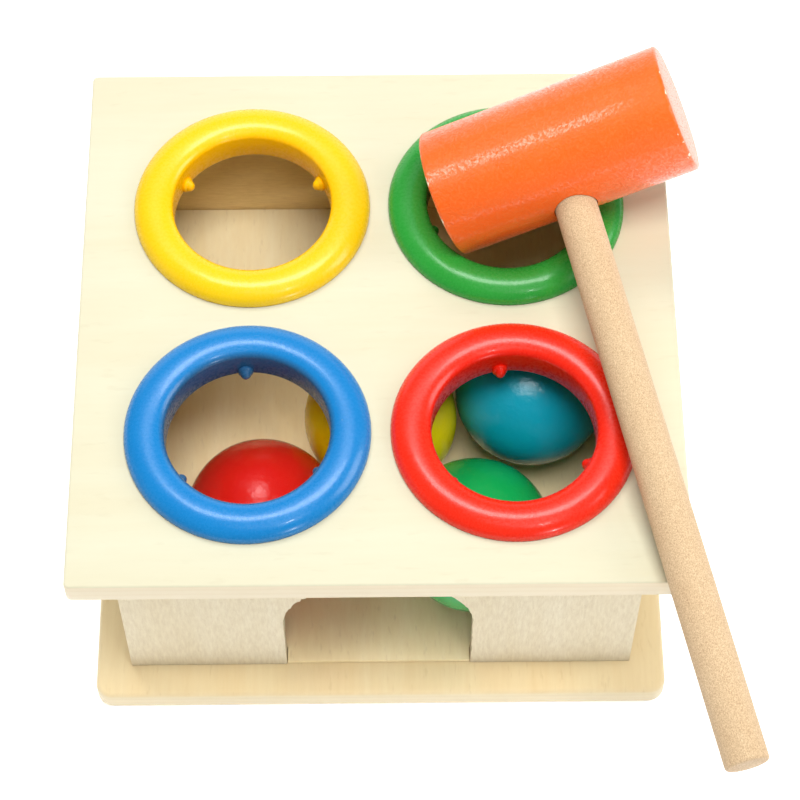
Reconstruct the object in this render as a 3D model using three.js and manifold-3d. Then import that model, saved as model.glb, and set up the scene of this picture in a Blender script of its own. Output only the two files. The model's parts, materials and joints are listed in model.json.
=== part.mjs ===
import * as THREE from 'three';
import { mergeVertices } from 'three/addons/utils/BufferGeometryUtils.js';
import Module from 'manifold-3d';

const wasm = await Module();
wasm.setup();

// Millimetres, +Z up, +X to the right, -Y towards the exit. The origin lies under the
// middle of the bench on the table.

// Clearance kept between pieces that touch or are glued.
const gap = 0.3;

// Panels: plywood squares above and below the box.
const topSide = 170;
const topThick = 8;
const topCorner = 1.6;
const topEase = 0.6;
const topFace = 84.2;
const baseSide = 168;
const baseThick = 7.5;
const baseCorner = 4.8;
const baseEase = 1.4;

// Balls: the yellow one's place on the ramp; the others are counted from it in ball radii.
const ballRadius = 22.5;
const yellowX = 0.6;
const yellowY = -11;
const ballSteps = { red: [-1.533, -1.302], yellow: [0, 0], green: [1.213, -1.582], teal: [1.982, 0.373] };

// Box: four thin walls and four corner posts, full height in front and under the ramp behind.
// The teal ball lies near the right wall and the green one near the front wall.
const wallThick = 4.5;
const sideRoom = 1.405;
const frontRoom = 0.405;
const boxX = yellowX + (ballSteps.teal[0] + 1) * ballRadius + sideRoom + wallThick;
const boxY = (1 - ballSteps.green[1]) * ballRadius - yellowY + frontRoom + wallThick;
const postSide = 10;

// Exit: a round arch in the front wall.
const exitHalf = 27.1;
const exitSpring = 35.8;
const exitShift = -0.6;

// Ramp: a thin board that falls from the back wall to the exit.
const rampThick = 3;
const rampToe = 9.0;
const rampBack = 35.2;
const tongueHalf = exitHalf - gap;
const cleatDepth = 10;
const cleatHeight = 12;
const cleatHalf = 50;

// Rings: moulded grommets with a domed flange, a sleeve and three holding nubs.
const ringX = 36.95;
const ringY = 37.6;
const ringOuter = 34.4;
const ringCrown = 27.3;
const ringBore = 23;
const ringDome = 4.3;
const ringShoulder = 2.6;
const ringSleeve = 25;
const sleeveDrop = 6.2;
const panelHole = ringSleeve + gap;
const nubRadius = 2.35;
const nubCentre = ringBore - 0.4;
const ringShift = new THREE.Vector2(0.7, -0.6);

// Hammer: a round head with a dowel handle in a blind hole.
const headRadius = 18.5;
const headLength = 71.6;
const headEase = 1.1;
const handleRadius = 6.05;
const handleReach = 183.5;
const socketDepth = 8;
const headCentre = new THREE.Vector3(52, 39.55, 107.85);
const headTurn = 10;
const headTilt = 20.9;
const handleRoll = 8.45;
const handleLean = 0.69;

// Fixings: countersunk screws up through the base into the posts.
const screwHead = 3.4;
const screwShank = 1.5;
const screwLength = 20;
const slotWidth = 0.8;
const slotReach = 1.9;
const slotDeep = 0.9;

const baseTop = baseThick;
const topUnder = topFace - topThick;
const wallLow = baseTop + gap;
const wallHigh = topUnder - gap;
const innerX = boxX - wallThick;
const innerY = boxY - wallThick;
const postX = innerX - gap - postSide / 2;
const postY = innerY - gap - postSide / 2;
const toeY = -boxY + gap;
const rearY = innerY - gap;
const rampSlope = (rampBack - rampToe) / (rearY - toeY);
const rampTurn = Math.atan(rampSlope);
const rampDrop = rampThick / Math.cos(rampTurn);
const rampAt = (y) => rampToe + rampSlope * (y - toeY);
const rad = THREE.MathUtils.degToRad;

function toSolid(geometry) {
  const g = geometry.clone();
  g.deleteAttribute('normal');
  g.deleteAttribute('uv');
  const m = mergeVertices(g, 1e-4);
  const vertProperties = new Float32Array(m.attributes.position.array);
  const triVerts = new Uint32Array(m.index.array);
  const mesh = new wasm.Mesh({ numProp: 3, vertProperties, triVerts });
  mesh.merge();
  return new wasm.Manifold(mesh);
}

function toGeometry(solid) {
  const m = solid.getMesh();
  const g = new THREE.BufferGeometry();
  g.setAttribute('position', new THREE.BufferAttribute(new Float32Array(m.vertProperties), 3));
  g.setIndex(new THREE.BufferAttribute(new Uint32Array(m.triVerts), 1));
  const flat = g.toNonIndexed();
  flat.computeVertexNormals();
  return flat;
}

function cut(geometry, tools) {
  let solid = toSolid(geometry);
  for (const tool of tools) {
    solid = solid.subtract(toSolid(tool));
  }
  return toGeometry(solid);
}

function join(geometry, extras) {
  let solid = toSolid(geometry);
  for (const extra of extras) {
    solid = solid.add(toSolid(extra));
  }
  return toGeometry(solid);
}

function box(x0, x1, y0, y1, z0, z1) {
  const g = new THREE.BoxGeometry(x1 - x0, y1 - y0, z1 - z0);
  return g.translate((x0 + x1) / 2, (y0 + y1) / 2, (z0 + z1) / 2);
}

function turned(points, sides) {
  const profile = points.map(([r, z]) => new THREE.Vector2(r, z));
  return new THREE.LatheGeometry(profile, sides).rotateX(Math.PI / 2);
}

function plug(radius, z0, z1, sides) {
  return turned([[0, z0], [radius, z0], [radius, z1], [0, z1]], sides);
}

function roundedSquare(half, corner) {
  const s = new THREE.Shape();
  s.moveTo(-half + corner, -half);
  s.lineTo(half - corner, -half);
  s.absarc(half - corner, -half + corner, corner, -Math.PI / 2, 0);
  s.lineTo(half, half - corner);
  s.absarc(half - corner, half - corner, corner, 0, Math.PI / 2);
  s.lineTo(-half + corner, half);
  s.absarc(-half + corner, half - corner, corner, Math.PI / 2, Math.PI);
  s.lineTo(-half, -half + corner);
  s.absarc(-half + corner, -half + corner, corner, Math.PI, Math.PI * 1.5);
  return s;
}

function panel(side, thick, corner, ease) {
  const g = new THREE.ExtrudeGeometry(roundedSquare(side / 2, corner), {
    depth: thick - 2 * ease,
    curveSegments: 5,
    bevelEnabled: true,
    bevelSize: ease,
    bevelThickness: ease,
    bevelOffset: -ease,
    bevelSegments: 2,
  });
  return g.translate(0, 0, ease);
}

// A profile in the Y-Z plane carried along X from -half to half.
function alongX(points, half) {
  const s = new THREE.Shape(points.map(([y, z]) => new THREE.Vector2(y, z)));
  const g = new THREE.ExtrudeGeometry(s, { depth: 2 * half, bevelEnabled: false });
  const m = new THREE.Matrix4().set(0, 0, 1, -half, 1, 0, 0, 0, 0, 1, 0, 0, 0, 0, 0, 1);
  return g.applyMatrix4(m);
}

const part = new THREE.Group();
part.name = 'ball_pounding_bench';

function node(name, geometry, colour, roughness) {
  const material = new THREE.MeshStandardMaterial({ color: colour, roughness, metalness: 0 });
  const mesh = new THREE.Mesh(geometry, material);
  mesh.name = name;
  part.add(mesh);
}

const birch = 0xf0dfb4;
const raw = 0xd9c4a0;
const corners = [['fl', -1, -1], ['fr', 1, -1], ['bl', -1, 1], ['br', 1, 1]];

// Base panel, with a countersunk hole under each post.
const screwSeat = [[0, -1], [screwHead + gap + 1, -1], [screwHead + gap, 0]];
screwSeat.push([screwShank + gap, screwHead - screwShank], [screwShank + gap, baseThick + 1]);
screwSeat.push([0, baseThick + 1]);
const seats = corners.map(([, sx, sy]) => turned(screwSeat, 20).translate(sx * postX, sy * postY, 0));
node('base_panel', cut(panel(baseSide, baseThick, baseCorner, baseEase), seats), birch, 0.5);

// Top panel, with a hole for each ring.
const rings = [['yellow', -1, 1, 30], ['green', 1, 1, 75], ['blue', -1, -1, 93], ['red', 1, -1, 98]];
const ringAt = (sx, sy) => [ringShift.x + sx * ringX, ringShift.y + sy * ringY];
const topTools = rings.map(([, sx, sy]) => plug(panelHole, -1, topThick + 1, 48).translate(...ringAt(sx, sy), 0));
const topPanel = cut(panel(topSide, topThick, topCorner, topEase), topTools);
node('top_panel', topPanel.translate(0, 0, topUnder), birch, 0.5);

// Front wall, with the arch open at the bottom.
const arch = new THREE.Shape();
arch.moveTo(-boxX, wallLow);
arch.lineTo(exitShift - exitHalf, wallLow);
arch.lineTo(exitShift - exitHalf, exitSpring);
arch.absarc(exitShift, exitSpring, exitHalf, Math.PI, 0, true);
arch.lineTo(exitShift + exitHalf, wallLow);
arch.lineTo(boxX, wallLow);
arch.lineTo(boxX, wallHigh);
arch.lineTo(-boxX, wallHigh);
const archWall = new THREE.ExtrudeGeometry(arch, { depth: wallThick, bevelEnabled: false, curveSegments: 28 });
node('front_wall', archWall.rotateX(Math.PI / 2).translate(0, -innerY, 0), raw, 0.75);

// Back and side walls; the sides stand between front and back.
node('back_wall', box(-boxX, boxX, innerY, boxY, wallLow, wallHigh), raw, 0.75);
const sideY = innerY - gap;
node('left_wall', box(-boxX, -innerX, -sideY, sideY, wallLow, wallHigh), raw, 0.75);
node('right_wall', box(innerX, boxX, -sideY, sideY, wallLow, wallHigh), raw, 0.75);

// Corner posts, bored below for the screw.
const postUnderRamp = rampAt(postY - postSide / 2) - rampDrop - gap;
for (const [tag, sx, sy] of corners) {
  const h = postSide / 2;
  const post = box(-h, h, -h, h, wallLow, sy < 0 ? wallHigh : postUnderRamp);
  const bore = plug(screwShank + gap, wallLow - 1, screwLength + 2 * gap, 16);
  node(`post_${tag}`, cut(post, [bore]).translate(sx * postX, sy * postY, 0), raw, 0.8);
}

// Ramp board, notched round the front posts, with a tongue that fills the exit's sill.
const footY = toeY + (wallLow + rampDrop - rampToe) / rampSlope;
const rampLine = [[toeY, wallLow], [footY, wallLow], [rearY, rampBack - rampDrop], [rearY, rampBack], [toeY, rampToe]];
const notchX = postX - postSide / 2 - gap;
const notchY = -postY + postSide / 2 + gap;
const rampTools = [box(-boxX, -notchX, -boxY - 1, notchY, 0, topFace)];
rampTools.push(box(notchX, boxX, -boxY - 1, notchY, 0, topFace));
rampTools.push(box(-boxX, exitShift - tongueHalf, -boxY - 1, -innerY + gap, 0, topFace));
rampTools.push(box(exitShift + tongueHalf, boxX, -boxY - 1, -innerY + gap, 0, topFace));
node('ramp_floor', cut(alongX(rampLine, innerX - gap), rampTools), birch, 0.7);

// Cleat under the ramp's high edge, bevelled to the ramp's underside.
const cleatFront = rearY - cleatDepth;
const cleatTop = (y) => rampAt(y) - rampDrop - gap;
const cleatLow = cleatTop(cleatFront) - cleatHeight;
const cleatLine = [[cleatFront, cleatLow], [rearY, cleatLow], [rearY, cleatTop(rearY)], [cleatFront, cleatTop(cleatFront)]];
node('ramp_cleat', alongX(cleatLine, cleatHalf), raw, 0.8);

// Rings: dome, sleeve and nubs in one moulding.
const ringColour = { yellow: 0xf6b90f, green: 0x2f9142, blue: 0x2366c8, red: 0xd8221c };
const shoulderLow = gap + ringDome - ringShoulder;
const ringLine = [[ringBore, -sleeveDrop], [ringSleeve, -sleeveDrop], [ringSleeve, gap], [ringOuter, gap]];
for (let i = 1; i <= 4; i += 1) {
  const a = (i * Math.PI) / 8;
  ringLine.push([ringCrown + (ringOuter - ringCrown) * Math.cos(a), gap + ringDome * Math.sin(a)]);
}
for (let i = 3; i >= 0; i -= 1) {
  const a = (i * Math.PI) / 8;
  ringLine.push([ringCrown - (ringCrown - ringBore) * Math.cos(a), shoulderLow + ringShoulder * Math.sin(a)]);
}
ringLine.push([ringBore, -sleeveDrop]);
for (const [tag, sx, sy, turn] of rings) {
  const nubs = [0, 120, 240].map((step) => {
    const a = rad(turn + step);
    const nub = new THREE.SphereGeometry(nubRadius, 8, 6).rotateX(Math.PI / 2);
    return nub.translate(nubCentre * Math.cos(a), nubCentre * Math.sin(a), nubRadius * 0.7 - sleeveDrop);
  });
  const ring = join(turned(ringLine, 44), nubs);
  node(`ring_${tag}`, ring.translate(...ringAt(sx, sy), topFace), ringColour[tag], 0.3);
}

// Balls, at rest on the ramp against each other.
const ballColour = { red: 0xc81f1f, yellow: 0xe6c81e, green: 0x1f9a4e, teal: 0x1f7f8c };
for (const [tag, [aside, along]] of Object.entries(ballSteps)) {
  const x = yellowX + aside * ballRadius;
  const y = yellowY + along * ballRadius;
  const lift = (ballRadius + gap) / Math.cos(rampTurn);
  const ball = new THREE.SphereGeometry(ballRadius, 28, 16).rotateX(Math.PI / 2);
  node(`ball_${tag}`, ball.translate(x, y, rampAt(y) + lift), ballColour[tag], 0.3);
}

// Hammer: the head's axis is X and the handle leaves it along -Y before it is laid down.
const laid = new THREE.Matrix4().makeRotationFromEuler(
  new THREE.Euler(rad(handleRoll), rad(-headTilt), rad(headTurn), 'ZYX'),
);
laid.setPosition(headCentre);
const e = headEase;
const hl = headLength / 2;
const headLine = [[0, -hl], [headRadius - e, -hl], [headRadius - 0.3 * e, -hl + 0.3 * e], [headRadius, -hl + e]];
headLine.push([headRadius, hl - e], [headRadius - 0.3 * e, hl - 0.3 * e], [headRadius - e, hl], [0, hl]);
const head = turned(headLine, 48).rotateY(Math.PI / 2);
const leanHandle = (g) => g.rotateX(Math.PI / 2).rotateZ(rad(handleLean));
const socket = leanHandle(plug(handleRadius + gap, -socketDepth - gap, headRadius + 4, 32));
node('hammer_head', cut(head, [socket]).applyMatrix4(laid), 0xea5a1c, 0.5);
const handleLine = [[0, -socketDepth], [handleRadius - 0.5, -socketDepth], [handleRadius, 0.5 - socketDepth]];
handleLine.push([handleRadius, handleReach - 0.7], [handleRadius - 0.7, handleReach], [0, handleReach]);
node('hammer_handle', leanHandle(turned(handleLine, 32)).applyMatrix4(laid), 0xc79a63, 0.7);

// Countersunk screws with a crossed recess, driven up through the base.
const screwFlat = 0.2;
const screwLine = [[0, screwFlat], [screwHead - 0.2, screwFlat], [screwShank, screwFlat + screwHead - screwShank]];
screwLine.push([screwShank, screwLength - 3], [0.3, screwLength], [0, screwLength]);
for (const [tag, sx, sy] of corners) {
  const w = slotWidth / 2;
  const deep = screwFlat + slotDeep;
  const slots = [box(-w, w, -slotReach, slotReach, -1, deep), box(-slotReach, slotReach, -w, w, -1, deep)];
  node(`screw_${tag}`, cut(turned(screwLine, 20), slots).translate(sx * postX, sy * postY, 0), 0xb9bcc0, 0.35);
}

export default part;
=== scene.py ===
import bmesh
import bpy
import json
import math
import random
from mathutils import Matrix, Vector

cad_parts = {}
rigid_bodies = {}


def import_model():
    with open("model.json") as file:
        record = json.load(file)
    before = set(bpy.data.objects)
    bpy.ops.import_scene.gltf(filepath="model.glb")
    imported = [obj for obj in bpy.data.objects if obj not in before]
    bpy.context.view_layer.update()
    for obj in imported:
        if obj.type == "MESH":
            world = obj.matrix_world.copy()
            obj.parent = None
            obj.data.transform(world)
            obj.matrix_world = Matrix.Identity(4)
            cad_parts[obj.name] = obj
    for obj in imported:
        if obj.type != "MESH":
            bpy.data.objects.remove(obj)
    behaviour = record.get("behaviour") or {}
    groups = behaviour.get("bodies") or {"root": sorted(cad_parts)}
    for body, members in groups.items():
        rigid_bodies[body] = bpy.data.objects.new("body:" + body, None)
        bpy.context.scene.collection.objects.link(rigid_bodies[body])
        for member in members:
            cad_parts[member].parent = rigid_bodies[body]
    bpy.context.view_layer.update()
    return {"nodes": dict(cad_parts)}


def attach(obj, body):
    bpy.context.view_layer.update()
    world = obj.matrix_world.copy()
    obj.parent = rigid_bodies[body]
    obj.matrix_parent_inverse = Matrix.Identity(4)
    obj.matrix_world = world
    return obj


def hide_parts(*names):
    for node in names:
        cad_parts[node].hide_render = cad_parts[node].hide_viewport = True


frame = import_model()
mm = 0.001
print("frame loaded with", len(frame["nodes"]), "nodes")


# camera at the photograph's place, looking down on the bench from the front

cameraSetup = {
    "place": (0.001645, -0.383912, 0.711573),
    "elevation": 60.4227,
    "azimuth": -0.719,
    "roll": 0.1261,
    "lens": 116.22,
    "sensor": 36.0,
}


def makeCamera(setup):
    az, el, roll = (math.radians(setup[k]) for k in ("azimuth", "elevation", "roll"))
    back = Vector((math.sin(az) * math.cos(el), -math.cos(az) * math.cos(el), math.sin(el)))
    right = Vector((math.cos(az), math.sin(az), 0))
    up = back.cross(right)
    sideways = math.cos(roll) * right + math.sin(roll) * up
    upright = math.cos(roll) * up - math.sin(roll) * right
    lens = bpy.data.cameras.new("benchCamera")
    lens.lens = setup["lens"]
    lens.sensor_width = setup["sensor"]
    lens.clip_start = 0.01
    camera = bpy.data.objects.new("benchCamera", lens)
    bpy.context.scene.collection.objects.link(camera)
    turn = Matrix((sideways, upright, back)).transposed()
    camera.matrix_world = Matrix.Translation(setup["place"]) @ turn.to_4x4()
    bpy.context.scene.camera = camera


makeCamera(cameraSetup)
print("camera set")


# modelling steps shared by the pieces

def clearAll():
    # the frame comes in selected, so each piece starts from nothing selected
    if bpy.context.mode != 'OBJECT':
        bpy.ops.object.mode_set(mode='OBJECT')
    bpy.ops.object.select_all(action='DESELECT')


def takeUp(piece):
    clearAll()
    piece.select_set(True)
    bpy.context.view_layer.objects.active = piece


def pick(piece, kind, test):
    # in edit mode, select what passes the test
    bpy.ops.mesh.select_mode(type=kind)
    bpy.ops.mesh.select_all(action='DESELECT')
    mesh = bmesh.from_edit_mesh(piece.data)
    group = {'VERT': mesh.verts, 'EDGE': mesh.edges, 'FACE': mesh.faces}[kind]
    for item in group:
        if test(item):
            item.select_set(True)
    mesh.select_flush_mode()
    bmesh.update_edit_mesh(piece.data)


def nameIt(piece, name):
    piece.name = name
    piece.data.name = name
    return piece


def drawLine(name, points):
    # a plane merged to one point, drawn out step by step
    clearAll()
    bpy.ops.mesh.primitive_plane_add(size=mm)
    piece = nameIt(bpy.context.object, name)
    bpy.ops.object.mode_set(mode='EDIT')
    bpy.ops.mesh.select_mode(type='VERT')
    bpy.ops.mesh.select_all(action='SELECT')
    bpy.ops.mesh.merge(type='CENTER')
    bpy.ops.transform.translate(value=points[0])
    for start, end in zip(points, points[1:]):
        bpy.ops.mesh.extrude_vertices_move(TRANSFORM_OT_translate={"value": end - start})
    return piece


weldWithin = 0.004 * mm


def turnPiece(name, profile, steps):
    # a profile of radius and height spun round the upright axis
    piece = drawLine(name, [Vector((r, 0, z)) * mm for r, z in profile])
    bpy.ops.mesh.select_all(action='SELECT')
    bpy.ops.mesh.spin(steps=steps, angle=2 * math.pi, center=(0, 0, 0), axis=(0, 0, 1))
    bpy.ops.mesh.select_all(action='SELECT')
    bpy.ops.mesh.remove_doubles(threshold=weldWithin)
    bpy.ops.mesh.normals_make_consistent(inside=False)
    bpy.ops.object.mode_set(mode='OBJECT')
    return piece


def combine(piece, tool, how):
    # joins or cuts with a tool, which is then thrown away
    takeUp(piece)
    bpy.ops.object.modifier_add(type='BOOLEAN')
    step = piece.modifiers[-1]
    step.object = tool
    step.operation = how
    step.solver = 'EXACT'
    bpy.ops.object.modifier_apply(modifier=step.name)
    takeUp(tool)
    bpy.ops.object.delete()


def settle(piece, matrix):
    # puts the piece in place and keeps the place in its mesh
    takeUp(piece)
    piece.matrix_world = matrix
    bpy.ops.object.transform_apply(location=True, rotation=True, scale=True)


def copyTo(piece, name, matrix):
    takeUp(piece)
    bpy.ops.object.duplicate()
    made = nameIt(bpy.context.object, name)
    settle(made, matrix)
    return made


def smooth(piece, angle):
    takeUp(piece)
    bpy.ops.object.shade_smooth_by_angle(angle=math.radians(angle))


def finishPiece(piece, body, slot, node, *finishes):
    piece.data.materials.clear()
    for finish in finishes:
        piece.data.materials.append(finish)
    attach(piece, body)
    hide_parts(node)


# shading steps shared by the finishes

def addNode(tree, kind, options=None, values=None):
    made = tree.nodes.new(kind)
    for key, value in (options or {}).items():
        setattr(made, key, value)
    for key, value in (values or {}).items():
        if isinstance(value, bpy.types.NodeSocket):
            tree.links.new(value, made.inputs[key])
        else:
            made.inputs[key].default_value = value
    return made


def stretch(tree, vector, factors):
    made = addNode(tree, 'ShaderNodeVectorMath', {"operation": 'MULTIPLY'}, {0: vector, 1: factors})
    return made.outputs[0]


def noise(tree, vector, scale, detail=3, rough=0.55, warp=0.0):
    made = addNode(tree, 'ShaderNodeTexNoise', None, {
        "Vector": vector, "Scale": scale, "Detail": detail, "Roughness": rough, "Distortion": warp})
    return made.outputs["Fac"]


def ramp(tree, value, low, high, toLow=0.0, toHigh=1.0):
    return addNode(tree, 'ShaderNodeMapRange', None, {
        "Value": value, "From Min": low, "From Max": high, "To Min": toLow, "To Max": toHigh}).outputs[0]


def sums(tree, how, a, b):
    return addNode(tree, 'ShaderNodeMath', {"operation": how}, {0: a, 1: b}).outputs[0]


def blend(tree, factor, a, b, how='MIX'):
    made = addNode(tree, 'ShaderNodeMix', {"data_type": 'RGBA', "blend_type": how})
    for index, value in ((0, factor), (6, a), (7, b)):
        if isinstance(value, bpy.types.NodeSocket):
            tree.links.new(value, made.inputs[index])
        else:
            made.inputs[index].default_value = value
    return made.outputs[2]


def newGroup(name, inputs, outputs):
    tree = bpy.data.node_groups.new(name, 'ShaderNodeTree')
    for label, kind in inputs:
        tree.interface.new_socket(name=label, in_out='INPUT', socket_type=kind)
    for label in outputs:
        tree.interface.new_socket(name=label, in_out='OUTPUT', socket_type='NodeSocketFloat')
    return tree, tree.nodes.new('NodeGroupInput').outputs, tree.nodes.new('NodeGroupOutput').inputs


def useGroup(tree, group, values):
    return addNode(tree, 'ShaderNodeGroup', {"node_tree": group}, values).outputs


fibrePattern = {
    "streakAlong": 0.06, "fibreAlong": 0.12, "poreAlong": 0.22,
    "poreFiner": 1.35, "poreStart": 0.62, "poreFull": 0.74, "poreSink": 0.6,
}
skinPattern = {
    "waves": 70, "waveShare": 0.5, "grains": 210.0, "grainEdge": 0.09, "grainCore": 0.05,
    "clusters": 120, "clusterStart": 0.6, "clusterFull": 0.66,
}


def makeWoodFibres(pattern):
    # long streaks, fine fibres and short pores; the grain runs along the vector's first axis
    inputs = [("Vector", 'NodeSocketVector'), ("Streaks", 'NodeSocketFloat'), ("Fibres", 'NodeSocketFloat')]
    tree, given, out = newGroup("woodFibres", inputs, ["Tone", "Fibre", "Pore", "Height"])
    drawn = [stretch(tree, given["Vector"], (pattern[k], 1, 1)) for k in ("streakAlong", "fibreAlong", "poreAlong")]
    tone = noise(tree, drawn[0], given["Streaks"], detail=4, rough=0.6, warp=0.6)
    fibre = noise(tree, drawn[1], given["Fibres"], detail=4, rough=0.65, warp=0.2)
    finer = sums(tree, 'MULTIPLY', given["Fibres"], pattern["poreFiner"])
    speck = noise(tree, drawn[2], finer, detail=2, rough=0.5)
    pore = ramp(tree, speck, pattern["poreStart"], pattern["poreFull"])
    sunk = sums(tree, 'MULTIPLY', pore, pattern["poreSink"])
    tree.links.new(tone, out["Tone"])
    tree.links.new(fibre, out["Fibre"])
    tree.links.new(pore, out["Pore"])
    tree.links.new(sums(tree, 'SUBTRACT', fibre, sunk), out["Height"])
    return tree


def makePaintSkin(pattern):
    # fine speckle and soft waves of a sprayed or moulded skin, with a few dust grains
    inputs = [("Vector", 'NodeSocketVector'), ("Peel", 'NodeSocketFloat')]
    tree, given, out = newGroup("paintSkin", inputs, ["Wave", "Speck", "Dust", "Height"])
    wave = noise(tree, given["Vector"], pattern["waves"], detail=2, rough=0.5)
    speck = noise(tree, given["Vector"], given["Peel"], detail=3, rough=0.6)
    cells = addNode(tree, 'ShaderNodeTexVoronoi', None, {
        "Vector": given["Vector"], "Scale": pattern["grains"], "Randomness": 1.0})
    grain = ramp(tree, cells.outputs["Distance"], pattern["grainEdge"], pattern["grainCore"])
    cluster = noise(tree, given["Vector"], pattern["clusters"], detail=1)
    rare = ramp(tree, cluster, pattern["clusterStart"], pattern["clusterFull"])
    tree.links.new(wave, out["Wave"])
    tree.links.new(speck, out["Speck"])
    tree.links.new(sums(tree, 'MULTIPLY', grain, rare), out["Dust"])
    tree.links.new(sums(tree, 'ADD', speck, sums(tree, 'MULTIPLY', wave, pattern["waveShare"])), out["Height"])
    return tree


woodFibres = makeWoodFibres(fibrePattern)
paintSkin = makePaintSkin(skinPattern)


def newFinish(name, rough, gloss=0.5, coat=0.0, coatRough=0.1):
    made = bpy.data.materials.new(name)
    made.use_nodes = True
    tree = made.node_tree
    skin = tree.nodes["Principled BSDF"]
    skin.inputs["Roughness"].default_value = rough
    skin.inputs["Specular IOR Level"].default_value = gloss
    skin.inputs["Coat Weight"].default_value = coat
    skin.inputs["Coat Roughness"].default_value = coatRough
    return made, tree, skin


def onObject(tree, place=(0, 0, 0), turn=(0, 0, 0)):
    # object coordinates seen from a place and turn of their own
    coords = tree.nodes.new('ShaderNodeTexCoord')
    return addNode(tree, 'ShaderNodeMapping', {"vector_type": 'TEXTURE'}, {
        "Vector": coords.outputs["Object"], "Location": place, "Rotation": turn}).outputs[0]


def setBump(tree, skin, height, strength, depth):
    bump = addNode(tree, 'ShaderNodeBump', None, {"Height": height, "Strength": strength, "Distance": depth * mm})
    tree.links.new(bump.outputs[0], skin.inputs["Normal"])


woodSpread = {"tone": (0.34, 0.68), "fibre": (0.3, 0.7), "roughSway": 0.07}
plySpread = {
    "wanderScale": 60, "wander": 0.0002, "layerIn": (0.0, 0.1), "layerOut": (0.5, 0.36), "upright": (0.7, 0.35),
}
paintSpread = {
    "wave": (0.3, 0.7), "speck": (0.45, 0.75), "rough": (0.3, 0.7), "smoother": 0.05, "rougher": 0.06,
    "coat": (0.42, 0.6),
}


def woodFinish(name, look):
    made, tree, skin = newFinish(
        name, look["rough"], look["gloss"], look.get("coat", 0.0), look.get("coatRough", 0.2))
    placed = onObject(tree, look.get("place", (0, 0, 0)), look["turn"])
    vector = stretch(tree, placed, (look.get("short", 1.0), 1, 1))
    grain = useGroup(tree, woodFibres, {"Vector": vector, "Streaks": look["streaks"], "Fibres": look["fibres"]})
    colour = blend(tree, ramp(tree, grain["Tone"], *woodSpread["tone"]), look["pale"], look["deep"])
    fibre = ramp(tree, grain["Fibre"], *woodSpread["fibre"], 0.0, look["fibreDepth"])
    colour = blend(tree, fibre, colour, look["line"])
    colour = blend(tree, sums(tree, 'MULTIPLY', grain["Pore"], look["poreDepth"]), colour, look["pore"])
    if "plies" in look:
        colour = plyEdges(tree, colour, look)
    tree.links.new(colour, skin.inputs["Base Color"])
    sway = woodSpread["roughSway"]
    uneven = ramp(tree, grain["Fibre"], *woodSpread["fibre"], look["rough"] - sway, look["rough"] + sway)
    tree.links.new(uneven, skin.inputs["Roughness"])
    setBump(tree, skin, grain["Height"], look["bump"], look["bumpDepth"])
    return made


def plyEdges(tree, colour, look):
    # veneer layers along the sawn edges, told by height; flat faces keep their own grain
    height = addNode(tree, 'ShaderNodeSeparateXYZ', None, {0: onObject(tree)}).outputs["Z"]
    wander = noise(tree, onObject(tree), plySpread["wanderScale"], detail=2)
    sway = plySpread["wander"]
    level = sums(tree, 'ADD', height, ramp(tree, wander, 0.3, 0.7, -sway, sway))
    lowest, thick = look["plies"]
    layer = sums(tree, 'FRACT', sums(tree, 'DIVIDE', sums(tree, 'SUBTRACT', level, lowest), thick), 0.0)
    seam = sums(tree, 'MULTIPLY', ramp(tree, layer, *plySpread["layerIn"]), ramp(tree, layer, *plySpread["layerOut"]))
    normal = tree.nodes.new('ShaderNodeNewGeometry').outputs["Normal"]
    facing = addNode(tree, 'ShaderNodeSeparateXYZ', None, {0: normal}).outputs["Z"]
    upright = ramp(tree, sums(tree, 'ABSOLUTE', facing, 0.0), *plySpread["upright"])
    colour = blend(tree, sums(tree, 'MULTIPLY', upright, look["edgeDepth"]), colour, look["edgeTone"])
    shown = sums(tree, 'MULTIPLY', sums(tree, 'MULTIPLY', seam, upright), look["plyDepth"])
    return blend(tree, shown, colour, look["plyTone"])


def paintFinish(name, look, place=(0, 0, 0), turn=(0, 0, 0)):
    made, tree, skin = newFinish(
        name, look["rough"], look["gloss"], look.get("coat", 0.0), look.get("coatRough", 0.1))
    vector = onObject(tree, place, turn)
    coat = useGroup(tree, paintSkin, {"Vector": vector, "Peel": look["peel"]})
    colour = blend(tree, ramp(tree, coat["Wave"], *paintSpread["wave"]), look["colour"], look["shade"])
    speck = ramp(tree, coat["Speck"], *paintSpread["speck"], 0.0, look["speckDepth"])
    colour = blend(tree, speck, colour, look["speck"])
    colour = blend(tree, sums(tree, 'MULTIPLY', coat["Dust"], look["dust"]), colour, look["dustTone"])
    least, most = look["rough"] - paintSpread["smoother"], look["rough"] + paintSpread["rougher"]
    tree.links.new(ramp(tree, coat["Speck"], *paintSpread["rough"], least, most), skin.inputs["Roughness"])
    if "coatSpeckle" in look:
        shine = ramp(tree, coat["Speck"], *paintSpread["coat"], 0.0, look["coatSpeckle"])
        tree.links.new(shine, skin.inputs["Coat Weight"])
    setBump(tree, skin, coat["Height"], look["bump"], look["bumpDepth"])
    tree.links.new(colour, skin.inputs["Base Color"])
    return made, tree, skin, vector, colour


# panels: plywood squares with eased edges

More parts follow.
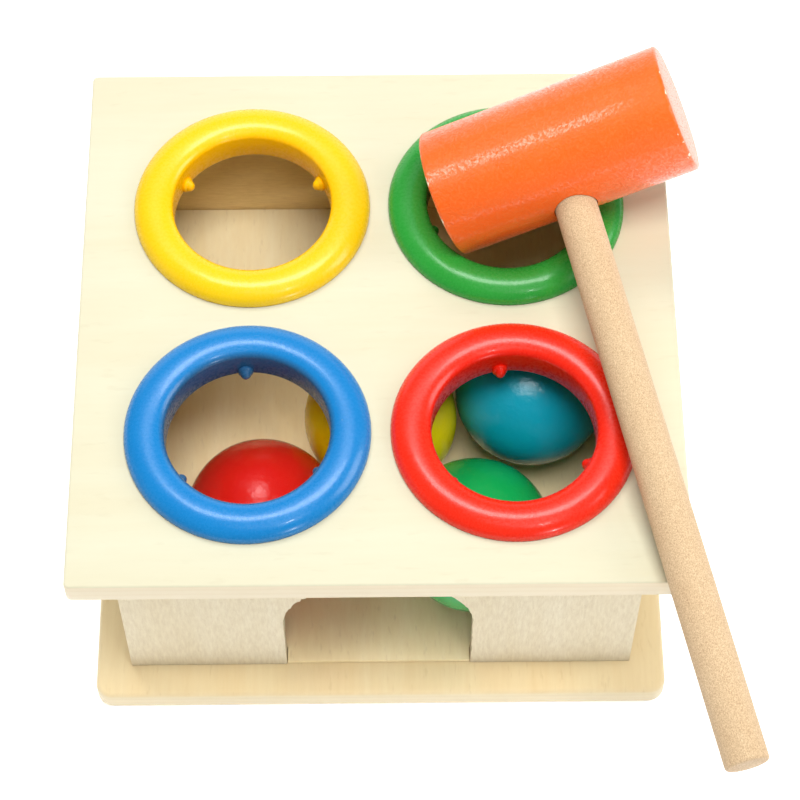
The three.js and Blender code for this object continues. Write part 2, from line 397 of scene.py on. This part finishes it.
topLook = {
    "pale": (0.635, 0.615, 0.46, 1), "deep": (0.625, 0.585, 0.42, 1),
    "line": (0.555, 0.485, 0.32, 1), "pore": (0.38, 0.28, 0.15, 1),
    "turn": (0, 0, 0.02), "streaks": 55.0, "fibres": 420.0, "fibreDepth": 0.12, "poreDepth": 0.08,
    "rough": 0.42, "gloss": 0.35, "coat": 0.12, "coatRough": 0.3, "bump": 0.12, "bumpDepth": 0.15,
    "plies": (0.0762, 0.0027), "plyDepth": 0.14, "plyTone": (0.60, 0.46, 0.25, 1),
    "edgeDepth": 0.8, "edgeTone": (0.72, 0.61, 0.43, 1),
}
baseLook = {
    "pale": (0.77, 0.64, 0.395, 1), "deep": (0.75, 0.59, 0.34, 1),
    "line": (0.665, 0.50, 0.268, 1), "pore": (0.50, 0.34, 0.16, 1),
    "turn": (0, 0, 1.57), "streaks": 90.0, "fibres": 520.0, "fibreDepth": 0.3, "poreDepth": 0.2,
    "rough": 0.45, "gloss": 0.35, "coat": 0.1, "coatRough": 0.3, "bump": 0.15, "bumpDepth": 0.15,
    "plies": (0.0, 0.0025), "plyDepth": 0.14, "plyTone": (0.58, 0.43, 0.22, 1),
    "edgeDepth": 0.8, "edgeTone": (0.74, 0.64, 0.44, 1),
}
topPanel = {"side": 170.0, "thick": 8.0, "face": 84.2, "corner": 1.6, "ease": 0.7, "hole": 25.3,
            "holeSides": 96, "cutDepth": 30.0}
basePanel = {"side": 168.0, "thick": 7.5, "face": 7.5, "corner": 4.8, "ease": 1.5}
panelSteps = {"corner": 8, "ease": 4, "sharp": 1.0}
# place of each ring's axis, and the turn of its nubs
ringSpots = {
    "yellow": (-36.25, 37.0, 30), "green": (37.65, 37.0, 75),
    "blue": (-36.25, -38.2, 93), "red": (37.65, -38.2, 98),
}


def makePanel(name, sizes):
    clearAll()
    middle = sizes["face"] - sizes["thick"] / 2
    bpy.ops.mesh.primitive_cube_add(size=1, location=(0, 0, middle * mm))
    piece = nameIt(bpy.context.object, name)
    piece.scale = (sizes["side"] * mm, sizes["side"] * mm, sizes["thick"] * mm)
    bpy.ops.object.transform_apply(location=True, rotation=True, scale=True)
    bpy.ops.object.mode_set(mode='EDIT')
    pick(piece, 'EDGE', lambda e: abs(e.verts[0].co.z - e.verts[1].co.z) > mm)
    bpy.ops.mesh.bevel(offset=sizes["corner"] * mm, segments=panelSteps["corner"], affect='EDGES')
    pick(piece, 'EDGE', lambda e: abs(e.verts[0].co.z - e.verts[1].co.z) < 0.01 * mm
         and len(e.link_faces) == 2 and e.calc_face_angle() > panelSteps["sharp"])
    bpy.ops.mesh.bevel(offset=sizes["ease"] * mm, segments=panelSteps["ease"], affect='EDGES')
    bpy.ops.object.mode_set(mode='OBJECT')
    return piece


topFinish = woodFinish("creamBirch", topLook)
top = makePanel("topPanelEased", topPanel)
for x, y, _ in ringSpots.values():
    clearAll()
    bpy.ops.mesh.primitive_cylinder_add(
        vertices=topPanel["holeSides"], radius=topPanel["hole"] * mm, depth=topPanel["cutDepth"] * mm,
        location=(x * mm, y * mm, topPanel["face"] * mm))
    combine(top, bpy.context.object, 'DIFFERENCE')
smooth(top, 30)
finishPiece(top, "bench", "ply", "top_panel", topFinish)

screwSeat = {"across": 63.8, "along": 64.2, "flare": 4.7, "head": 3.7, "shank": 1.8, "sink": 1.9, "top": 8.5}
seatProfile = [
    (0, screwSeat["head"] - screwSeat["flare"]), (screwSeat["flare"], screwSeat["head"] - screwSeat["flare"]),
    (screwSeat["head"], 0), (screwSeat["shank"], screwSeat["sink"]),
    (screwSeat["shank"], screwSeat["top"]), (0, screwSeat["top"]),
]
screwSpots = [(sx * screwSeat["across"], sy * screwSeat["along"]) for sx in (-1, 1) for sy in (-1, 1)]
baseFinish = woodFinish("honeyBirch", baseLook)
base = makePanel("basePanelEased", basePanel)
for x, y in screwSpots:
    seat = turnPiece("screwSeat", seatProfile, 32)
    settle(seat, Matrix.Translation((x * mm, y * mm, 0)))
    combine(base, seat, 'DIFFERENCE')
smooth(base, 30)
finishPiece(base, "bench", "ply", "base_panel", baseFinish)
print("panels made")


# front wall: a raw board with a sawn arch, splintery along the cut

frontWall = {
    "half": 73.6, "low": 7.8, "high": 75.9, "front": -74.0, "thick": 4.5,
    "archHalf": 27.1, "archSpring": 35.8, "archShift": -0.6, "step": 1.1, "riseSteps": 24,
    "ragged": 0.16, "plainFoot": 4, "splinter": 0.7, "splinterAbove": 8, "splinterLeftOf": 6,
    "splinterShare": 0.3, "splinterLeast": 0.3, "seed": 7,
}
wallLook = {
    "pale": (0.815, 0.74, 0.565, 1), "deep": (0.775, 0.68, 0.485, 1),
    "line": (0.58, 0.47, 0.315, 1), "pore": (0.46, 0.35, 0.21, 1),
    "turn": (0, 1.57, 0.08), "streaks": 60.0, "fibres": 1250.0, "short": 1.5, "fibreDepth": 0.5, "poreDepth": 0.12,
    "rough": 0.75, "gloss": 0.25, "bump": 0.3, "bumpDepth": 0.25,
}


def makeFrontWall(sizes):
    half, spring, low, high = sizes["archHalf"], sizes["archSpring"], sizes["low"], sizes["high"]
    middle = sizes["archShift"]
    rise = [low + (spring - low) * i / sizes["riseSteps"] for i in range(1, sizes["riseSteps"])]
    outline = [(-sizes["half"], low), (middle - half, low)] + [(middle - half, z) for z in rise]
    count = int(math.pi * half / sizes["step"])
    for i in range(count + 1):
        a = math.pi * (1 - i / count)
        outline.append((middle + half * math.cos(a), spring + half * math.sin(a)))
    outline += [(middle + half, z) for z in reversed(rise)] + [(middle + half, low)]
    outline += [(sizes["half"], low), (sizes["half"], high), (-sizes["half"], high)]
    piece = drawLine("frontWallSawn", [Vector((x, sizes["front"], z)) * mm for x, z in outline])
    bpy.ops.mesh.select_all(action='SELECT')
    bpy.ops.mesh.edge_face_add()
    bpy.ops.mesh.extrude_region_move(TRANSFORM_OT_translate={"value": (0, sizes["thick"] * mm, 0)})
    bpy.ops.mesh.select_all(action='SELECT')
    bpy.ops.mesh.normals_make_consistent(inside=False)
    # the sawn edge wanders a little, and fibres stand out on the upper left of the front
    chance = random.Random(sizes["seed"])
    mesh = bmesh.from_edit_mesh(piece.data)
    for v in mesh.verts:
        x, z = v.co.x / mm - middle, v.co.z / mm
        inArch = abs(x) < half + 0.1 and low + sizes["plainFoot"] < z < spring + half + 0.1
        if not inArch:
            continue
        out = Vector((x, 0, max(z - spring, 0))).normalized()
        atFront = v.co.y / mm < sizes["front"] + 1
        shift = chance.uniform(0, sizes["ragged"] * (2 if atFront else 1))
        upperLeft = z > spring + sizes["splinterAbove"] and x < sizes["splinterLeftOf"]
        if atFront and upperLeft and chance.random() < sizes["splinterShare"]:
            shift = -chance.uniform(sizes["splinterLeast"], 1) * sizes["splinter"]
        v.co += out * shift * mm
    bmesh.update_edit_mesh(piece.data)
    bpy.ops.object.mode_set(mode='OBJECT')
    return piece


wallFinish = woodFinish("rawBirch", wallLook)
front = makeFrontWall(frontWall)
smooth(front, 20)
finishPiece(front, "bench", "raw_wood", "front_wall", wallFinish)
print("front wall made")


# rings: domed grommets with a sleeve and three holding nubs, one model placed four times

ringShape = {
    "outer": 34.4, "crown": 28.1, "bore": 23.0, "dome": 4.3, "shoulder": 2.6, "lift": 0.3,
    "sleeve": 25.0, "drop": 6.2, "lip": 0.5, "lipTurn": 0.15, "sleeveEase": 0.4,
    "brim": 0.35, "brimTurn": 0.08, "brimLift": 0.1, "domeSteps": 16, "shoulderSteps": 14, "steps": 128,
    "nubs": 3, "bumps": [(2.35, 1.75, 2.1), (1.3, 2.2, 2.5)], "nubAt": 22.6, "rise": 1.645,
    # the next two radii, past the bore, set where the painted bore shade starts and where it is full
    "paintedShadeFrom": 1.6, "paintedShadeTo": 0.1, "boreIn": 0.3, "boreOut": 0.05, "boreSlope": 0.3,
}


def makeRing(sizes):
    lift, drop, bore, sleeve = sizes["lift"], sizes["drop"], sizes["bore"], sizes["sleeve"]
    crown, high, outer = sizes["crown"], sizes["lift"] + sizes["dome"], sizes["outer"]
    lip, lipTurn, ease = sizes["lip"], sizes["lipTurn"], sizes["sleeveEase"]
    profile = [(bore, -drop + lip), (bore + lipTurn, -drop + lipTurn), (bore + lip, -drop)]
    profile += [(sleeve - ease, -drop), (sleeve, -drop + ease), (sleeve, lift)]
    profile += [(outer - sizes["brim"], lift), (outer - sizes["brimTurn"], lift + sizes["brimLift"])]
    for i in range(2, sizes["domeSteps"] + 1):
        a = math.pi * i / (2 * sizes["domeSteps"])
        profile.append((crown + (outer - crown) * math.cos(a), lift + sizes["dome"] * math.sin(a)))
    for i in reversed(range(sizes["shoulderSteps"])):
        a = math.pi * i / (2 * sizes["shoulderSteps"])
        profile.append((crown - (crown - bore) * math.cos(a), high - sizes["shoulder"] * (1 - math.sin(a))))
    profile += [(bore, 0), (bore, -drop + lip)]
    piece = turnPiece("ringMould", profile, sizes["steps"])
    for step in range(sizes["nubs"]):
        a = math.radians(360 / sizes["nubs"] * step)
        clearAll()
        for reach, wide, tall in sizes["bumps"]:
            bpy.ops.mesh.primitive_uv_sphere_add(segments=32, ring_count=20, radius=mm)
            nub = bpy.context.object
            nub.scale = (reach, wide, tall)
            nub.rotation_euler = (0, 0, a)
            nub.location = Vector((math.cos(a), math.sin(a), 0)) * sizes["nubAt"] * mm
            nub.location.z = (sizes["rise"] - drop) * mm
            bpy.ops.object.transform_apply(location=True, rotation=True, scale=True)
            combine(piece, nub, 'UNION')
            clearAll()
    return piece


# each ring's bore colour is painted shade and bounce: a darker, more saturated colour for the inner shoulder and bore
# walls, which lie in shade
ringLooks = {
    "yellow": {
        "colour": (0.79, 0.52, 0.006, 1), "shade": (0.78, 0.50, 0.005, 1),
        "speck": (0.80, 0.545, 0.01, 1), "bore": (1.0, 0.54, 0.0, 1),
    },
    "green": {
        "colour": (0.023, 0.295, 0.036, 1), "shade": (0.02, 0.28, 0.032, 1),
        "speck": (0.03, 0.31, 0.043, 1), "bore": (0.01, 0.22, 0.02, 1),
    },
    "blue": {
        "colour": (0.006, 0.187, 0.485, 1), "shade": (0.005, 0.177, 0.47, 1),
        "speck": (0.01, 0.197, 0.50, 1), "bore": (0.02, 0.10, 0.23, 1),
    },
    "red": {
        "colour": (0.77, 0.022, 0.006, 1), "shade": (0.75, 0.019, 0.005, 1),
        "speck": (0.78, 0.027, 0.009, 1), "bore": (0.72, 0.012, 0.003, 1),
    },
}
ringSkin = {
    "rough": 0.27, "gloss": 0.5, "peel": 900.0, "speckDepth": 0.2, "dust": 0.15, "dustTone": (0.85, 0.85, 0.8, 1),
    "bump": 0.008, "bumpDepth": 0.1, "coat": 0.16, "coatRough": 0.06,
}


boreSkin = {"gloss": 0.12, "coat": 0.0, "dust": 0.0}


def ringFinish(name, look, spot):
    # painted shade and bounce: the colour turns darker and more saturated down the inner shoulder into the bore, where
    # the walls lie in shade and catch light bounced within the ring
    made, tree, skin, vector, colour = paintFinish(name, look, spot)
    flat = stretch(tree, vector, (1, 1, 0))
    around = addNode(tree, 'ShaderNodeVectorMath', {"operation": 'LENGTH'}, {0: flat}).outputs["Value"]
    start, full = ((ringShape["bore"] + ringShape[k]) * mm for k in ("paintedShadeFrom", "paintedShadeTo"))
    paintedInside = ramp(tree, around, start, full)
    tree.links.new(blend(tree, paintedInside, colour, look["bore"]), skin.inputs["Base Color"])
    return made


ringModel = makeRing(ringShape)
smooth(ringModel, 40)
boreLeast = (ringShape["bore"] - ringShape["boreIn"]) * mm
boreMost = (ringShape["bore"] + ringShape["boreOut"]) * mm
for tag, (x, y, turn) in ringSpots.items():
    spot = Vector((x, y, topPanel["face"])) * mm
    ring = copyTo(ringModel, "ringDomed_" + tag, Matrix.Translation(spot) @ Matrix.Rotation(math.radians(turn), 4, 'Z'))
    look = {**ringSkin, **ringLooks[tag]}
    outside = ringFinish("mouldedGloss_" + tag, look, spot)
    inside = ringFinish("mouldedBore_" + tag, {**look, **boreSkin}, spot)
    finishPiece(ring, "bench", "ring_" + tag, "ring_" + tag, outside, inside)
    for face in ring.data.polygons:
        away = (face.center - spot).xy.length
        if boreLeast < away < boreMost and abs(face.normal.z) < ringShape["boreSlope"]:
            face.material_index = 1
takeUp(ringModel)
bpy.ops.object.delete()
print("rings made")


# balls: painted wood, lying on the ramp

ballSpots = {
    "red": (-33.89, -40.30, 38.31), "yellow": (0.6, -11.0, 43.68),
    "green": (27.89, -46.60, 37.15), "teal": (45.20, -2.61, 45.22),
}
ballShape = {"radius": 22.5, "cuts": 23}
ballLooks = {
    "red": {"colour": (0.62, 0.011, 0.007, 1), "shade": (0.59, 0.01, 0.006, 1), "speck": (0.66, 0.016, 0.011, 1)},
    "yellow": {"colour": (0.97, 0.80, 0.003, 1), "shade": (0.95, 0.77, 0.002, 1), "speck": (0.98, 0.82, 0.008, 1)},
    "green": {"colour": (0.006, 0.36, 0.08, 1), "shade": (0.005, 0.34, 0.075, 1), "speck": (0.01, 0.38, 0.09, 1)},
    "teal": {"colour": (0.004, 0.39, 0.55, 1), "shade": (0.003, 0.365, 0.52, 1), "speck": (0.008, 0.42, 0.58, 1)},
}
ballSkin = {
    "rough": 0.17, "gloss": 0.4, "peel": 800.0, "speckDepth": 0.15, "dust": 0.1, "dustTone": (0.85, 0.85, 0.8, 1),
    "bump": 0.7, "bumpDepth": 0.2,
}


def makeBall(sizes):
    clearAll()
    bpy.ops.mesh.primitive_cube_add(size=2 * sizes["radius"] * mm)
    piece = nameIt(bpy.context.object, "ballTurned")
    bpy.ops.object.mode_set(mode='EDIT')
    bpy.ops.mesh.select_all(action='SELECT')
    bpy.ops.mesh.subdivide(number_cuts=sizes["cuts"])
    bpy.ops.transform.tosphere(value=1)
    bpy.ops.object.mode_set(mode='OBJECT')
    reach = max(v.co.length for v in piece.data.vertices)
    settle(piece, Matrix.Scale(sizes["radius"] * mm / reach, 4))
    return piece


ballModel = makeBall(ballShape)
smooth(ballModel, 40)
for tag, spot in ballSpots.items():
    place = Vector(spot) * mm
    ball = copyTo(ballModel, "ballPainted_" + tag, Matrix.Translation(place))
    finish = paintFinish("ballPaint_" + tag, {**ballSkin, **ballLooks[tag]}, place)[0]
    finishPiece(ball, tag + "_ball", "ball_" + tag, "ball_" + tag, finish)
takeUp(ballModel)
bpy.ops.object.delete()
print("balls made")


# hammer: painted round head on a plain dowel, lying over the green and red rings

hammerLie = {"centre": (52.0, 39.55, 107.85), "turn": 10.0, "tilt": 20.9, "roll": 8.45, "lean": 0.69}
headShape = {
    "radius": 18.41, "length": 71.6, "ease": 1.1, "easeAngles": (0.4, 0.8, 1.2), "steps": 128,
    "socket": 6.35, "socketDepth": 31.0, "socketShift": 7.2,
}
headWear = {"from": 3.5, "to": 0.2, "rim": 0.22, "chips": 260, "start": 0.80, "full": 0.83}
handleShape = {
    "radius": 6.05, "start": -8.0, "reach": 183.5, "ease": 0.9, "easeAngles": (0.0, 0.5, 1.0, 1.57),
    "startEase": 0.5, "lengths": 8, "steps": 64,
}
headLook = {
    "colour": (0.80, 0.12, 0.009, 1), "shade": (0.79, 0.11, 0.008, 1), "speck": (0.86, 0.20, 0.04, 1),
    "rough": 0.38, "gloss": 0.3, "peel": 1350.0, "speckDepth": 0.45, "dust": 0.08, "dustTone": (0.9, 0.55, 0.35, 1),
    "bump": 0.8, "bumpDepth": 0.25, "coatSpeckle": 0.9, "coatRough": 0.15, "bare": (0.86, 0.70, 0.52, 1),
}
endLook = {**headLook, "rough": 0.3, "bump": 0.2, "bumpDepth": 0.1, "coatSpeckle": 0.15}
handleLook = {
    "pale": (0.775, 0.60, 0.375, 1), "deep": (0.745, 0.56, 0.34, 1),
    "line": (0.36, 0.215, 0.115, 1), "pore": (0.32, 0.16, 0.08, 1),
    "streaks": 120.0, "fibres": 3500.0, "short": 6.0, "fibreDepth": 0.92, "poreDepth": 0.4,
    "rough": 0.6, "gloss": 0.3, "bump": 0.25, "bumpDepth": 0.2,
}

laid = (Matrix.Translation(Vector(hammerLie["centre"]) * mm)
        @ Matrix.Rotation(math.radians(hammerLie["turn"]), 4, 'Z')
        @ Matrix.Rotation(math.radians(-hammerLie["tilt"]), 4, 'Y')
        @ Matrix.Rotation(math.radians(hammerLie["roll"]), 4, 'X'))
laidTurn = laid.to_euler('XYZ')
handleLaid = laid @ Matrix.Rotation(math.radians(hammerLie["lean"]), 4, 'Z') @ Matrix.Rotation(math.radians(90), 4, 'X')


def makeHead(sizes):
    r, half, e = sizes["radius"], sizes["length"] / 2, sizes["ease"]
    profile = [(0, -half), (r * 0.5, -half), (r - e, -half)]
    profile += [(r - e + e * math.sin(a), -half + e - e * math.cos(a)) for a in sizes["easeAngles"]]
    profile += [(r, -half + e), (r, -half / 3), (r, half / 3), (r, half - e)]
    profile += [(r - e + e * math.sin(a), half - e + e * math.cos(a)) for a in reversed(sizes["easeAngles"])]
    profile += [(r - e, half), (r * 0.5, half), (0, half)]
    piece = turnPiece("hammerHeadPainted", profile, sizes["steps"])
    settle(piece, laid @ Matrix.Rotation(math.radians(90), 4, 'Y'))
    clearAll()
    bpy.ops.mesh.primitive_cylinder_add(vertices=64, radius=sizes["socket"] * mm, depth=sizes["socketDepth"] * mm)
    settle(bpy.context.object, handleLaid @ Matrix.Translation((0, 0, sizes["socketShift"] * mm)))
    combine(piece, bpy.context.object, 'DIFFERENCE')
    return piece


def headFinish(look, sizes, wear):
    # worn through to the wood along the rims
    made, tree, skin, vector, colour = paintFinish("orangePaint", look, laid.translation, laidTurn)
    along = addNode(tree, 'ShaderNodeSeparateXYZ', None, {0: vector}).outputs["X"]
    start, full = ((sizes["length"] / 2 - wear[k]) * mm for k in ("from", "to"))
    rim = ramp(tree, sums(tree, 'ABSOLUTE', along, 0.0), start, full, 0.0, wear["rim"])
    chips = noise(tree, vector, wear["chips"], detail=3, rough=0.6)
    worn = ramp(tree, sums(tree, 'ADD', chips, rim), wear["start"], wear["full"])
    tree.links.new(blend(tree, worn, colour, look["bare"]), skin.inputs["Base Color"])
    return made


head = makeHead(headShape)
smooth(head, 30)
roundFinish = headFinish(headLook, headShape, headWear)
endFinish = paintFinish("orangeEnd", endLook, laid.translation, laidTurn)[0]
finishPiece(head, "hammer", "head_orange", "hammer_head", roundFinish, endFinish)
headAxis = laid.to_3x3() @ Vector((1, 0, 0))
nearEnd = (headShape["length"] / 2 - 0.2) * mm
for face in head.data.polygons:
    offset = (face.center - laid.translation).dot(headAxis)
    if abs(face.normal.dot(headAxis)) > 0.95 and abs(offset) > nearEnd:
        face.material_index = 1


def makeHandle(sizes):
    r, e, start, reach = sizes["radius"], sizes["ease"], sizes["start"], sizes["reach"]
    profile = [(0, start), (r - sizes["startEase"], start), (r, start + sizes["startEase"])]
    profile += [(r, start + (reach - start) * i / sizes["lengths"]) for i in range(1, sizes["lengths"])]
    profile += [(r - e + e * math.cos(a), reach - e + e * math.sin(a)) for a in sizes["easeAngles"]]
    profile += [(r * 0.5, reach), (0, reach)]
    piece = turnPiece("hammerHandleDowel", profile, sizes["steps"])
    settle(piece, handleLaid)
    return piece


handle = makeHandle(handleShape)
smooth(handle, 30)
handleTurn = (handleLaid @ Matrix.Rotation(math.radians(90), 4, 'Y')).to_euler('XYZ')
handleFinish = woodFinish("sandedDowel", {**handleLook, "place": handleLaid.translation, "turn": handleTurn})
finishPiece(handle, "hammer", "handle_wood", "hammer_handle", handleFinish)
print("hammer made")


# frame nodes that keep their shape get their own finish

backLook = {
    **wallLook, "turn": (0, 0, 0), "streaks": 70.0,
    # painted warm bounce light: the inside face's colour is multiplied by this tint
    "paintedInside": (1.22, 1.04, 0.66, 1), "paintedInsideFrom": 72.0, "paintedInsideTo": 71.5,
}
sideLook = {**wallLook, "turn": (0, 0, 1.57)}
battenLook = {**wallLook, "streaks": 110.0}
rampLook = {
    "pale": (0.87, 0.75, 0.48, 1), "deep": (0.84, 0.69, 0.40, 1),
    "line": (0.73, 0.55, 0.29, 1), "pore": (0.48, 0.33, 0.18, 1),
    "turn": (0, 0, 1.57), "streaks": 80.0, "fibres": 600.0, "fibreDepth": 0.3, "poreDepth": 0.18,
    "rough": 0.6, "gloss": 0.3, "bump": 0.2, "bumpDepth": 0.2,
}
steelLook = {
    "colour": (0.55, 0.56, 0.57, 1), "shade": (0.48, 0.49, 0.5, 1), "speck": (0.62, 0.62, 0.6, 1),
    "rough": 0.34, "gloss": 0.5, "peel": 1600.0, "speckDepth": 0.4, "dust": 0.1, "dustTone": (0.4, 0.38, 0.35, 1),
    "bump": 0.1, "bumpDepth": 0.05,
}


def dress(names, finish):
    for name in names:
        node = frame["nodes"][name]
        node.data.materials.clear()
        node.data.materials.append(finish)


def backFinish(look):
    # painted light: the face inside the box is tinted warmer than the outer one, standing in for light bounced off the
    # wood inside the box
    made = woodFinish("rawBirchBack", look)
    tree = made.node_tree
    skin = tree.nodes["Principled BSDF"]
    colour = skin.inputs["Base Color"].links[0].from_socket
    depth = addNode(tree, 'ShaderNodeSeparateXYZ', None, {0: onObject(tree)}).outputs["Y"]
    inside = ramp(tree, depth, look["paintedInsideFrom"] * mm, look["paintedInsideTo"] * mm)
    tree.links.new(blend(tree, inside, colour, look["paintedInside"], 'MULTIPLY'), skin.inputs["Base Color"])
    return made


dress(["back_wall"], backFinish(backLook))
dress(["left_wall", "right_wall"], woodFinish("rawBirchSide", sideLook))
dress(["post_fl", "post_fr", "post_bl", "post_br", "ramp_cleat"], woodFinish("rawBatten", battenLook))
dress(["ramp_floor"], woodFinish("rampBirch", rampLook))
steel = paintFinish("zincSteel", steelLook)[0]
steel.node_tree.nodes["Principled BSDF"].inputs["Metallic"].default_value = 1.0
dress(["screw_fl", "screw_fr", "screw_bl", "screw_br"], steel)
print("frame nodes dressed")


# studio: white floor and paper wall, dim sky, softboxes round the bench and a small lamp in front;
# some lights only shade or only shine, and some reach only the pieces whose names start with "only"

studio = {
    "sky": 0.13, "glow": 0.35, "fade": (0.6, 2.0), "wallAway": 2.9, "wallSides": 96,
    "floorSide": 6, "floorDrop": 0.0003, "paper": [(0.97, 0.97, 0.97, 1), (0.99, 0.99, 0.985, 1)],
    "aim": (0, 0, 0.08),
    "lights": {
        "keySoftbox": {"place": (0.18, -0.37, 1.75), "size": (0.9, 0.6), "power": 27.0, "shows": "shade"},
        "backSoftbox": {"place": (-0.3, 0.75, 1.3), "size": (1.0, 0.6), "power": 12.0, "shows": "shade"},
        "overheadSoftbox": {
            "place": (0.04, 0.3, 1.2), "size": (0.62, 0.26),
            "power": 5.0, "shows": "gloss", "only": "ringDomed",
        },
        "backdrop": {"place": (0.0, 1.7, 0.55), "size": (3.0, 1.0), "power": 8.0, "shows": "both"},
        "frontLamp": {"place": (0.55, -1.0, 0.42), "size": (0.05, 0.05), "power": 1.4, "shows": "both"},
        "rightSoftbox": {"place": (1.0, 0.0, 0.75), "size": (0.6, 0.6), "power": 4.6, "shows": "both"},
        "hammerFill": {
            "place": (0.15, -0.9, 0.5), "size": (0.5, 0.4),
            "power": 1.1, "shows": "shade", "only": "hammerHead",
        },
        "leftSoftbox": {"place": (-1.1, -0.15, 0.4), "size": (0.6, 0.4), "power": 2.0, "shows": "shade"},
        "archFill": {
            "place": (0.0, -0.95, 0.16), "size": (0.3, 0.12),
            "power": 2.0, "shows": "shade", "only": "ramp_floor",
        },
        "rightGlint": {"place": (0.325, -0.48, 1.13), "size": (0.08, 0.05), "power": 0.8, "shows": "gloss"},
        "headStrip": {
            "place": (-0.94, -0.06, 1.1), "size": (0.42, 1.2),
            "power": 13.0, "shows": "gloss", "only": "hammerHead",
        },
        "ballGlint": {
            "place": (-0.17, -0.51, 1.12), "size": (0.6, 0.35),
            "power": 5.0, "shows": "gloss", "only": "ballPainted",
        },
        "redSheen": {
            "place": (-0.1, 0.12, 1.0), "size": (0.22, 0.22),
            "power": 2.2, "shows": "gloss", "only": "ballPainted_red",
        },
    },
}


def makeStudio(setup):
    clearAll()
    bpy.ops.mesh.primitive_plane_add(size=setup["floorSide"], location=(0, 0, -setup["floorDrop"]))
    floor = nameIt(bpy.context.object, "paleFloor")
    finish, tree, skin = newFinish("paperFloor", 0.8, 0.2)
    shade = ramp(tree, noise(tree, onObject(tree), 12, detail=2), 0.3, 0.7)
    tree.links.new(blend(tree, shade, *setup["paper"]), skin.inputs["Base Color"])
    away = addNode(tree, 'ShaderNodeVectorMath', {"operation": 'LENGTH'}, {0: onObject(tree)}).outputs["Value"]
    tree.links.new(ramp(tree, away, *setup["fade"], setup["glow"], 1.0), skin.inputs["Emission Color"])
    skin.inputs["Emission Strength"].default_value = 1.0
    floor.data.materials.append(finish)
    clearAll()
    bpy.ops.mesh.primitive_cylinder_add(
        vertices=setup["wallSides"], radius=setup["wallAway"], depth=2 * setup["wallAway"], end_fill_type='NOTHING')
    wall = nameIt(bpy.context.object, "paperWall")
    paper, _, paperSkin = newFinish("paperSweep", 0.9, 0.0)
    paperSkin.inputs["Emission Color"].default_value = (1, 1, 1, 1)
    paperSkin.inputs["Emission Strength"].default_value = 1.0
    wall.data.materials.append(paper)
    wall.visible_diffuse = wall.visible_glossy = wall.visible_shadow = False
    world = bpy.data.worlds.new("brightRoom")
    world.use_nodes = True
    sky = world.node_tree.nodes["Background"]
    sky.inputs["Color"].default_value = (1, 1, 1, 1)
    sky.inputs["Strength"].default_value = setup["sky"]
    bpy.context.scene.world = world
    for name, plan in setup["lights"].items():
        lamp = bpy.data.lights.new(name, 'AREA')
        lamp.shape = 'RECTANGLE'
        lamp.size, lamp.size_y = plan["size"]
        lamp.energy = plan["power"]
        holder = bpy.data.objects.new(name, lamp)
        bpy.context.scene.collection.objects.link(holder)
        holder.location = plan["place"]
        holder.visible_glossy = plan["shows"] != "shade"
        holder.visible_diffuse = plan["shows"] != "gloss"
        if "only" in plan:
            lit = bpy.data.collections.new(name + "Lit")
            for piece in [o for o in bpy.data.objects if o.name.startswith(plan["only"])]:
                lit.objects.link(piece)
            holder.light_linking.receiver_collection = lit
        toAim = Vector(setup["aim"]) - Vector(plan["place"])
        holder.rotation_euler = toAim.to_track_quat('-Z', 'Y').to_euler()
    bpy.context.scene.view_settings.view_transform = 'Standard'


makeStudio(studio)
print("studio lit")
